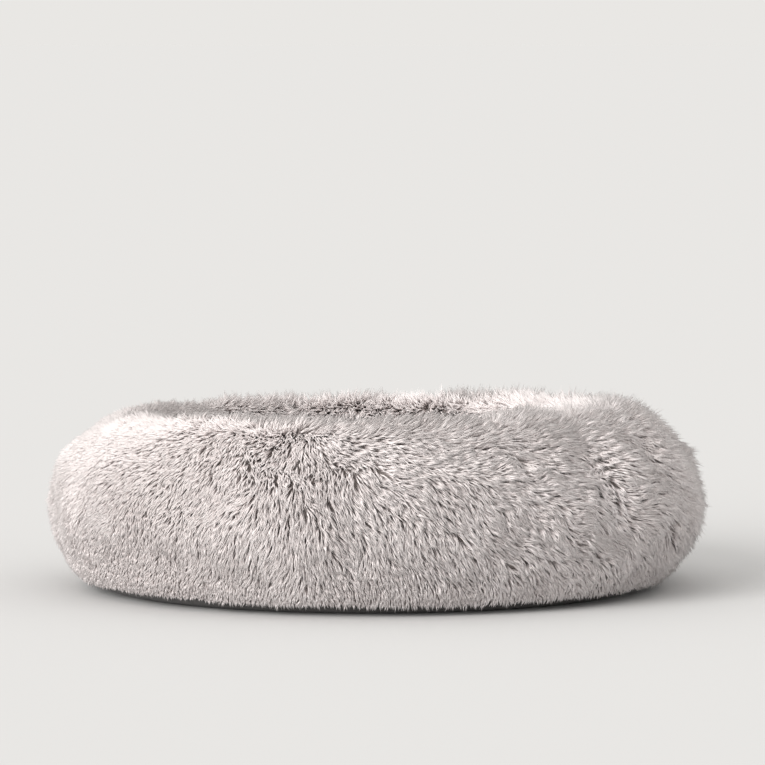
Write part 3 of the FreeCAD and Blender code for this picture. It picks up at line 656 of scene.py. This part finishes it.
def ramp(tree, stops):
    """A colour ramp node through the stops, each a position and a colour."""
    node = tree.nodes.new("ShaderNodeValToRGB")
    elements = node.color_ramp.elements
    while len(elements) < len(stops):
        elements.new(0.5)
    for element, (position, colour) in zip(elements, stops):
        element.position = position
        element.color = (*colour, 1)
    return node


def pile_material():
    """Greige pile: darker at the root as painted shade of the pile's depth, and paler at the tip; each lock
    a little its own shade, which at the left also holds painted shade.
    """
    known = bpy.data.materials.get("pile")
    if known:
        return known
    material, tree, shader = new_material("pile")
    place = tree.nodes.new("ShaderNodeUVMap")
    place.uv_map = "OFBake"
    split = tree.nodes.new("ShaderNodeSeparateXYZ")
    # Root to tip: the darker root is painted shade, standing in for the shade deep between the tufts.
    along = ramp(tree, [
        (0.0, (0.74, 0.665, 0.655)),
        (0.5, (0.92, 0.865, 0.862)),
        (1.0, (0.955, 0.915, 0.916)),
    ])
    # Lock to lock by U's tone: random, and lowered at the left of the rim as painted shade.
    shade = ramp(tree, [(0.0, (0.78, 0.765, 0.76)), (0.5, (0.95, 0.945, 0.94)), (1.0, (1.0, 1.0, 1.0))])
    mix = tree.nodes.new("ShaderNodeMix")
    mix.data_type = "RGBA"
    mix.blend_type = "MULTIPLY"
    mix.inputs["Factor"].default_value = 1
    links = tree.links
    links.new(place.outputs["UV"], split.inputs[0])
    links.new(split.outputs["Y"], along.inputs["Fac"])
    links.new(split.outputs["X"], shade.inputs["Fac"])
    links.new(along.outputs["Color"], mix.inputs["A"])
    links.new(shade.outputs["Color"], mix.inputs["B"])
    links.new(mix.outputs["Result"], shader.inputs["Base Color"])
    shader.inputs["Roughness"].default_value = 0.65
    shader.inputs["Specular IOR Level"].default_value = 0.2
    shader.inputs["Sheen Weight"].default_value = 0.2
    shader.inputs["Sheen Roughness"].default_value = 0.45
    shader.inputs["Sheen Tint"].default_value = (0.95, 0.9, 0.88, 1)
    return material


def cloth_material(name, dark, light, weave, roughness=0.9, sheen=0.2, strength=0.5):
    """Woven cloth: crossing threads at the weave's pitch as bump, and a mottled colour."""
    material, tree, shader = new_material(name)
    place = tree.nodes.new("ShaderNodeTexCoord")
    noise = tree.nodes.new("ShaderNodeTexNoise")
    noise.inputs["Scale"].default_value = 1 / (weave * 12)
    noise.inputs["Detail"].default_value = 6
    tone = ramp(tree, [(0.3, dark), (0.7, light)])
    cross = tree.nodes.new("ShaderNodeMath")
    cross.operation = "MAXIMUM"
    links = tree.links
    for number, direction in enumerate(("X", "Y")):
        wave = tree.nodes.new("ShaderNodeTexWave")
        wave.bands_direction = direction
        wave.inputs["Scale"].default_value = WAVE_LENGTH / weave
        wave.inputs["Distortion"].default_value = 0.6
        links.new(place.outputs["Object"], wave.inputs["Vector"])
        links.new(wave.outputs["Fac"], cross.inputs[number])
    bump = tree.nodes.new("ShaderNodeBump")
    bump.inputs["Strength"].default_value = strength
    bump.inputs["Distance"].default_value = weave / 3
    links.new(place.outputs["Object"], noise.inputs["Vector"])
    links.new(noise.outputs["Fac"], tone.inputs["Fac"])
    links.new(tone.outputs["Color"], shader.inputs["Base Color"])
    links.new(cross.outputs["Value"], bump.inputs["Height"])
    links.new(bump.outputs["Normal"], shader.inputs["Normal"])
    shader.inputs["Roughness"].default_value = roughness
    shader.inputs["Sheen Weight"].default_value = sheen
    return material


def fibre_material():
    """Loose white polyester fibre: a tangle of fine threads as bump."""
    material, tree, shader = new_material("fibre")
    place = tree.nodes.new("ShaderNodeTexCoord")
    tangle = tree.nodes.new("ShaderNodeTexNoise")
    tangle.inputs["Scale"].default_value = 90
    tangle.inputs["Detail"].default_value = 12
    tangle.inputs["Distortion"].default_value = 3
    tone = ramp(tree, [(0.3, (0.74, 0.74, 0.73)), (0.7, (0.90, 0.90, 0.89))])
    bump = tree.nodes.new("ShaderNodeBump")
    bump.inputs["Distance"].default_value = 0.003
    links = tree.links
    links.new(place.outputs["Object"], tangle.inputs["Vector"])
    links.new(tangle.outputs["Fac"], tone.inputs["Fac"])
    links.new(tangle.outputs["Fac"], bump.inputs["Height"])
    links.new(tone.outputs["Color"], shader.inputs["Base Color"])
    links.new(bump.outputs["Normal"], shader.inputs["Normal"])
    shader.inputs["Roughness"].default_value = 0.95
    shader.inputs["Sheen Weight"].default_value = 0.5
    return material


def hard_material(name, dark, light, roughness, metallic=0.0):
    """Moulded nylon or plated metal with small scuffs that change its colour and its gloss."""
    material, tree, shader = new_material(name)
    place = tree.nodes.new("ShaderNodeTexCoord")
    scuffs = tree.nodes.new("ShaderNodeTexNoise")
    scuffs.inputs["Scale"].default_value = 400
    scuffs.inputs["Detail"].default_value = 8
    tone = ramp(tree, [(0.35, dark), (0.65, light)])
    gloss = tree.nodes.new("ShaderNodeMapRange")
    gloss.inputs["To Min"].default_value = roughness - 0.1
    gloss.inputs["To Max"].default_value = roughness + 0.1
    bump = tree.nodes.new("ShaderNodeBump")
    bump.inputs["Strength"].default_value = 0.15
    bump.inputs["Distance"].default_value = 0.0002
    links = tree.links
    links.new(place.outputs["Object"], scuffs.inputs["Vector"])
    links.new(scuffs.outputs["Fac"], tone.inputs["Fac"])
    links.new(scuffs.outputs["Fac"], gloss.inputs["Value"])
    links.new(scuffs.outputs["Fac"], bump.inputs["Height"])
    links.new(tone.outputs["Color"], shader.inputs["Base Color"])
    links.new(gloss.outputs["Result"], shader.inputs["Roughness"])
    links.new(bump.outputs["Normal"], shader.inputs["Normal"])
    shader.inputs["Metallic"].default_value = metallic
    return material


# ---------------------------------------------------------------- cloth pieces

def add_piece(mesh, material, body=ROOT):
    """Puts a mesh in the scene as one piece, on a body and in a finish slot."""
    piece = bpy.data.objects.new(mesh.name, mesh)
    bpy.context.scene.collection.objects.link(piece)
    mesh.materials.append(material)
    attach(piece, body)
    return piece


def plain_mesh(name, vertices, faces):
    """A smooth-shaded mesh of those vertices and faces."""
    mesh = bpy.data.meshes.new(name)
    mesh.from_pydata(vertices.tolist(), [], faces)
    mesh.validate()
    mesh.shade_smooth()
    return mesh


def shell_mesh(name, outer, inner):
    """A closed skin between two open grids of the same shape."""
    rows, columns = outer.shape[:2]
    size = rows * columns
    index = np.arange(size).reshape(rows, columns)
    top = sheet_faces(rows, columns)
    border = np.concatenate([index[:, 0], index[-1, 1:], index[-2::-1, -1], index[0, -2:0:-1]])
    following = np.roll(border, -1)
    wall = np.stack([following, border, border + size, following + size], axis=-1)
    faces = np.concatenate([top, top[:, ::-1] + size, wall])
    return plain_mesh(name, np.concatenate([outer.reshape(-1, 3), inner.reshape(-1, 3)]), faces.tolist())


def disc_points(rings, steps, radius):
    """Points of a disc in rings round one middle point."""
    angles = np.arange(steps) * FULL_TURN / steps
    radii = (np.arange(rings) + 1) / rings * radius
    x = radii[:, None] * np.cos(angles)
    y = radii[:, None] * np.sin(angles)
    return np.concatenate([[[0, 0]], np.stack([x, y], axis=-1).reshape(-1, 2)])


def disc_faces(rings, steps):
    """Upward faces of a disc in rings round one middle point."""
    step = np.arange(steps)
    after = (step + 1) % steps
    faces = [[0, int(1 + a), int(1 + b)] for a, b in zip(step, after)]
    for ring in range(rings - 1):
        low, high = 1 + ring * steps, 1 + (ring + 1) * steps
        faces += [[int(low + a), int(high + a), int(high + b), int(low + b)] for a, b in zip(step, after)]
    return faces


def closed_disc_mesh(name, top, bottom, rings, steps):
    """A closed piece between an upper and a lower disc of points."""
    size = len(top)
    upper = disc_faces(rings, steps)
    lower = [[i + size for i in reversed(face)] for face in upper]
    first = 1 + (rings - 1) * steps
    wall = []
    for step in range(steps):
        a, b = first + step, first + (step + 1) % steps
        wall.append([b, a, a + size, b + size])
    return plain_mesh(name, np.concatenate([top, bottom]), upper + lower + wall)


def build_rim_cloth(grid, normals):
    """The two lengths of the rim's cloth, which the pile grows from."""
    steps = 192
    # The backing is dark greige as painted shade: it stands in for the shade deep between the tufts.
    cloth = cloth_material("pile_backing", (0.25, 0.215, 0.20), (0.33, 0.29, 0.275), weave=0.0015)
    for name, node, start in (
        ("rim_cloth_back", "rim_fur_back", JOIN_AZIMUTH),
        ("rim_cloth_front", "rim_fur_front", JOIN_AZIMUTH + math.pi),
    ):
        azimuth = start + np.linspace(0, math.pi, steps + 1)
        low = np.where((azimuth > ZIP_START) & (azimuth < ZIP_END), SLOT_TOP, BASE_SEAM)
        run = low[:, None] + (NEST_SEAM - low)[:, None] * np.linspace(0, 1, SECTION_STEPS)
        azimuth = np.repeat(azimuth[:, None], SECTION_STEPS, axis=1)
        outer, out = pick(grid, azimuth, run), unit(pick(normals, azimuth, run))
        piece = add_piece(shell_mesh(name, outer, outer - out * CLOTH), cloth)
        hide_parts(node)


def build_rim_inside(grid, normals, liner_cloth, fibre):
    """The rim's inner bag, and the fibre in it."""
    calm = blur(grid, 3)
    faces = ring_faces(RING_STEPS, SECTION_STEPS)
    outside = calm - normals * (LINER_INSET + 0.0012 * waves(grid, 0.05, 51)[..., None])
    inside = outside - normals * BAG_CLOTH
    both = np.concatenate([outside.reshape(-1, 3), inside.reshape(-1, 3)])
    shells = np.concatenate([faces, faces[:, ::-1] + len(both) // 2])
    bag = add_piece(plain_mesh("rim_inner_bag", both, shells.tolist()), liner_cloth)
    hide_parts("rim_liner")
    wad = calm - normals * (FILLING_INSET + FIBRE_GAP + 0.0018 * waves(grid, 0.04, 52)[..., None])
    stuffing = add_piece(plain_mesh("rim_fibre", wad.reshape(-1, 3), faces.tolist()), fibre)
    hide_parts("rim_filling")


def build_nest_cloth():
    """The round cloth of the nest, domed over the cushion under it and drawn down to its seam."""
    points = disc_points(NEST_RINGS, NEST_STEPS, NEST_SEAM_RADIUS)
    top = np.column_stack([points, nest_height(points)])
    # The same dark backing, as painted shade of the depth under the nest's pile.
    cloth = bpy.data.materials["pile_backing"]
    under = top - [0, 0, CLOTH]
    piece = add_piece(closed_disc_mesh("nest_cloth", top, under, NEST_RINGS, NEST_STEPS), cloth)
    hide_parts("nest_fur")


def cushion_mesh(name, low, high, seed):
    """A flat round cushion that fills the box from corner low to corner high, with a full edge."""
    rings, steps, edge = 28, 120, 0.0004
    radius, middle, thick = high[0], (low[2] + high[2]) / 2, (high[2] - low[2]) / 2
    angle = (np.arange(rings + 1) / rings) * math.pi / 2
    fullness = 0.6
    reach = np.sin(angle) ** fullness
    rise = np.cos(angle) ** fullness
    bearing = np.arange(steps) * FULL_TURN / steps
    layers = []
    for side in (1, -1):
        x = radius * reach[1:, None] * np.cos(bearing)
        y = radius * reach[1:, None] * np.sin(bearing)
        z = np.repeat((middle + side * thick * rise[1:])[:, None], steps, axis=1)
        ring_points = np.stack([x, y, z], axis=-1).reshape(-1, 3)
        layer = np.concatenate([[[0, 0, middle + side * thick]], ring_points])
        from_edge = radius - np.linalg.norm(layer[:, :2], axis=1)
        pucker = 0.0012 * waves(layer, 0.06, seed) * np.minimum(1, from_edge / 0.02)
        layer[:, 2] -= side * np.abs(pucker)
        layers.append(layer)
    top, bottom = layers
    bottom[-steps:] = top[-steps:] - [0, 0, edge]
    return closed_disc_mesh(name, top, bottom, rings, steps)


def build_nest_inside(liner_cloth, fibre):
    """The nest cushion's inner bag, and the fibre in it."""
    for name, node, material, slot, seed in (
        ("nest_inner_bag", "nest_liner", liner_cloth, "liner_cloth", 61),
        ("nest_fibre", "nest_filling", fibre, "fibre", 62),
    ):
        low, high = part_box(node)
        piece = add_piece(cushion_mesh(name, low, high - Vector((0, 0, 0.003)), seed), material)
        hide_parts(node)


def build_base_cloth():
    """The dark non-slip cloth: flat under the bed and turned up round its edge to the base seam."""
    rings, steps = 60, 240
    flat_run = CORNER_CENTRE
    full_run = CORNER_CENTRE + BASE_SEAM
    points = disc_points(rings, steps, full_run)
    run = np.linalg.norm(points, axis=1)
    turned = np.maximum(run - flat_run, 0) / CORNER_RADIUS
    radius = np.minimum(run, flat_run) + CORNER_RADIUS * np.sin(turned)
    height = CORNER_RADIUS * (1 - np.cos(turned))
    scale = (radius / np.maximum(run, 1e-9))[:, None]
    under = np.column_stack([points * scale, height])
    off_floor, crease_height = 0.0003, 0.0004
    crease = crease_height * (1 + waves(under, 0.09, 71) / 1.6) * (turned == 0)
    under[:, 2] += off_floor + np.maximum(crease, 0)
    outward = points * scale / np.maximum(radius, 1e-9)[:, None]
    upward = np.column_stack([outward * -np.sin(turned)[:, None], np.cos(turned)])
    top = under + upward * (CLOTH - 0.0002)
    dark, light = (0.030, 0.027, 0.026), (0.055, 0.050, 0.048)
    cloth = cloth_material("base_cloth", dark, light, weave=0.0012, roughness=0.85, sheen=0.1)
    piece = add_piece(closed_disc_mesh("base_cloth", top, under, rings, steps), cloth)
    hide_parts("base_fabric")


def build_grip_dots():
    """The rubber dots printed on the base cloth's underside."""
    pitch, row_share, reach, sides = 0.014, 0.866, CORNER_CENTRE - 0.006, 10
    profile = ((0.0022, 0.0009), (0.0021, 0.00025), (0.0013, 0.00002))
    vertices, faces = [], []
    count = int(reach / pitch) + 1
    angles = np.arange(sides) * FULL_TURN / sides
    for row in range(-count, count + 1):
        for column in range(-count, count + 1):
            x, y = (column + (row % 2) / 2) * pitch, row * pitch * row_share
            if math.hypot(x, y) > reach:
                continue
            first = len(vertices)
            for size, z in profile:
                vertices += [(x + size * math.cos(a), y + size * math.sin(a), z) for a in angles]
            for ring in (0, sides):
                for side in range(sides):
                    beside = (side + 1) % sides
                    corners = (ring + side, ring + side + sides, ring + beside + sides, ring + beside)
                    faces.append([first + corner for corner in corners])
            faces.append([first + side for side in range(sides)])
            faces.append([first + 2 * sides + side for side in reversed(range(sides))])
    rubber = hard_material("grip_dots", (0.10, 0.10, 0.10), (0.16, 0.155, 0.15), roughness=0.55)
    add_piece(plain_mesh("grip_dots", np.array(vertices), faces), rubber)


# ---------------------------------------------------------------- zip, seams and label

THREAD_RADIUS = 0.0005


def tube_mesh(name, spine, out, radius, sides=6):
    """A closed round wire along a spine."""
    ahead = unit(np.gradient(spine, axis=0))
    side = unit(np.cross(ahead, out))
    lift = np.cross(side, ahead)
    angles = np.arange(sides) * FULL_TURN / sides
    ring = side[:, None] * np.cos(angles)[:, None] + lift[:, None] * np.sin(angles)[:, None]
    vertices = (spine[:, None] + ring * radius).reshape(-1, 3)
    faces = []
    for step in range(len(spine) - 1):
        for a in range(sides):
            b = (a + 1) % sides
            low, high = step * sides, (step + 1) * sides
            faces.append([low + a, low + b, high + b, high + a])
    faces.append(list(reversed(range(sides))))
    faces.append([len(vertices) - sides + a for a in range(sides)])
    return plain_mesh(name, vertices, faces)


def build_zip_coils():
    """Each side's nylon coil, wound turn by turn along its tape."""
    nylon = hard_material("zip_coil", (0.30, 0.27, 0.26), (0.38, 0.345, 0.335), roughness=0.4)
    wire, pitch, per_turn, half_width = 0.00032, 0.0017, 12, math.radians(0.58)
    start, end = ZIP_START + COIL_MARGIN, ZIP_END - COIL_MARGIN
    turns = int((end - start) * (CORNER_CENTRE + CORNER_RADIUS * math.cos(ZIP_ANGLE)) / pitch)
    wind = np.arange(turns * per_turn + 1) / per_turn * FULL_TURN
    azimuth = np.linspace(start, end, len(wind))
    for side, away in (("upper", -1), ("lower", 1)):
        angle = ZIP_ANGLE + away * COIL_MIDDLE + half_width * np.cos(wind) * away
        out = COIL_HEIGHT / 2 + (COIL_HEIGHT / 2 - wire) * np.sin(wind)
        spine = corner_point(azimuth, angle, out)
        normal = unit(corner_point(azimuth, ZIP_ANGLE, 0.001) - corner_point(azimuth, ZIP_ANGLE))
        piece = add_piece(tube_mesh(f"zip_{side}_turns", spine, normal, wire), nylon)
        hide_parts(f"zip_{side}_coil")


def build_seam_threads(grid, normals, thread):
    """The stitching that joins the rim's two lengths, and the rim to the nest."""
    margin, join_depth, seam_depth = 0.004, 0.003, 0.002
    runs = np.linspace(BASE_SEAM + margin, NEST_SEAM - margin, 240)
    joins = []
    for azimuth in (JOIN_AZIMUTH, JOIN_AZIMUTH + math.pi):
        at = np.full(len(runs), azimuth)
        out = unit(pick(normals, at, runs))
        joins.append((pick(grid, at, runs) - out * join_depth, out))
    around = np.linspace(0, FULL_TURN, 361)
    seam_run = np.full(len(around), NEST_SEAM)
    nest_out = unit(pick(normals, around, seam_run))
    nest_ring = pick(grid, around, seam_run) - nest_out * seam_depth
    for name, node, lines in (
        ("join_stitching", "rim_seam_thread", joins),
        ("nest_stitching", "nest_seam_thread", [(nest_ring, nest_out)]),
    ):
        tubes = [tube_mesh(name, spine, out, THREAD_RADIUS) for spine, out in lines]
        piece = add_piece(tubes[0], thread)
        for tube in tubes[1:]:
            other = add_piece(tube, thread)
            with bpy.context.temp_override(active_object=piece, selected_editable_objects=[piece, other]):
                bpy.ops.object.join()
        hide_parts(node)


def dress_nodes(thread):
    """Finishes for the pieces whose frame shape is kept."""
    tape = cloth_material("zip_tape", (0.30, 0.27, 0.26), (0.40, 0.365, 0.35), weave=0.0007, roughness=0.8)
    dark, light = (0.13, 0.12, 0.115), (0.20, 0.185, 0.175)
    binding = cloth_material("binding", dark, light, weave=0.0012, roughness=0.85)
    dark, light = (0.76, 0.75, 0.73), (0.86, 0.85, 0.83)
    satin = cloth_material("label", dark, light, weave=0.0005, roughness=0.45, sheen=0.4, strength=0.2)
    dark, light = (0.30, 0.295, 0.285), (0.42, 0.41, 0.40)
    metal = hard_material("zip_metal", dark, light, roughness=0.32, metallic=1.0)
    finishes = {
        "zip_upper_tape": tape,
        "zip_lower_tape": tape,
        "base_seam_binding": binding,
        "base_seam_thread": thread,
        "care_label": satin,
        "zip_end_stops": metal,
        "zip_slider": metal,
        "zip_pull": metal,
    }
    for node, material in finishes.items():
        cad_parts[node].material_slots[0].material = material


# ---------------------------------------------------------------- stage, light and camera

# Under the key and the studio, a floor of this shade looks as pale as the studio does.
FLOOR_SHADE = 0.728
STUDIO_COLOUR = (0.814, 0.799, 0.776, 1)
KEY_TOWARDS = Vector((-0.60, -0.745, 0.29))


def build_stage():
    """A pale floor so wide that it meets the equally pale studio at the horizon."""
    bpy.ops.mesh.primitive_circle_add(vertices=96, radius=600, fill_type="NGON")
    floor = bpy.context.object
    floor.name = "floor"
    material, _, shader = new_material("floor")
    shader.inputs["Base Color"].default_value = (FLOOR_SHADE, FLOOR_SHADE, FLOOR_SHADE, 1)
    shader.inputs["Roughness"].default_value = 1
    shader.inputs["Specular IOR Level"].default_value = 0
    floor.data.materials.append(material)


def build_lights():
    """A soft key from the front left, and an even studio fill."""
    key = bpy.data.lights.new("key", "SUN")
    key.energy = 3.25
    key.angle = math.radians(42)
    key.color = (1.0, 0.985, 0.965)
    lamp = bpy.data.objects.new("key", key)
    lamp.rotation_euler = (-KEY_TOWARDS).to_track_quat("-Z", "Y").to_euler()
    bpy.context.scene.collection.objects.link(lamp)
    world = bpy.data.worlds.new("studio")
    world.use_nodes = True
    background = world.node_tree.nodes["Background"]
    background.inputs["Color"].default_value = STUDIO_COLOUR
    background.inputs["Strength"].default_value = 1
    bpy.context.scene.world = world


def build_camera():
    """A long lens a little above the floor."""
    elevation, distance = math.radians(3.8), 6.0
    aim = Vector((0.0128, 0, 0.2368))
    camera = bpy.data.cameras.new("camera")
    camera.lens = 243
    camera.sensor_width = 36
    camera.clip_end = 1000
    holder = bpy.data.objects.new("camera", camera)
    holder.location = aim + distance * Vector((0, -math.cos(elevation), math.sin(elevation)))
    holder.rotation_euler = (math.pi / 2 - elevation, 0, 0)
    bpy.context.scene.collection.objects.link(holder)
    bpy.context.scene.camera = holder
    bpy.context.scene.view_settings.view_transform = "Standard"


# ---------------------------------------------------------------- the bed

build_camera()
build_stage()
build_lights()
skin = rim_skin()
skin_normals = grid_normals(skin)
liner_cloth = cloth_material("liner_cloth", (0.74, 0.73, 0.71), (0.84, 0.83, 0.81), weave=0.0009)
fibre = fibre_material()
build_rim_cloth(skin, skin_normals)
build_rim_inside(skin, skin_normals, liner_cloth, fibre)
build_nest_cloth()
build_nest_inside(liner_cloth, fibre)
build_base_cloth()
build_grip_dots()
build_zip_coils()
thread = cloth_material("thread", (0.40, 0.36, 0.345), (0.52, 0.475, 0.46), weave=0.0006, roughness=0.6)
build_seam_threads(skin, skin_normals, thread)
dress_nodes(thread)
build_rim_pile(skin, skin_normals)
build_nest_pile()
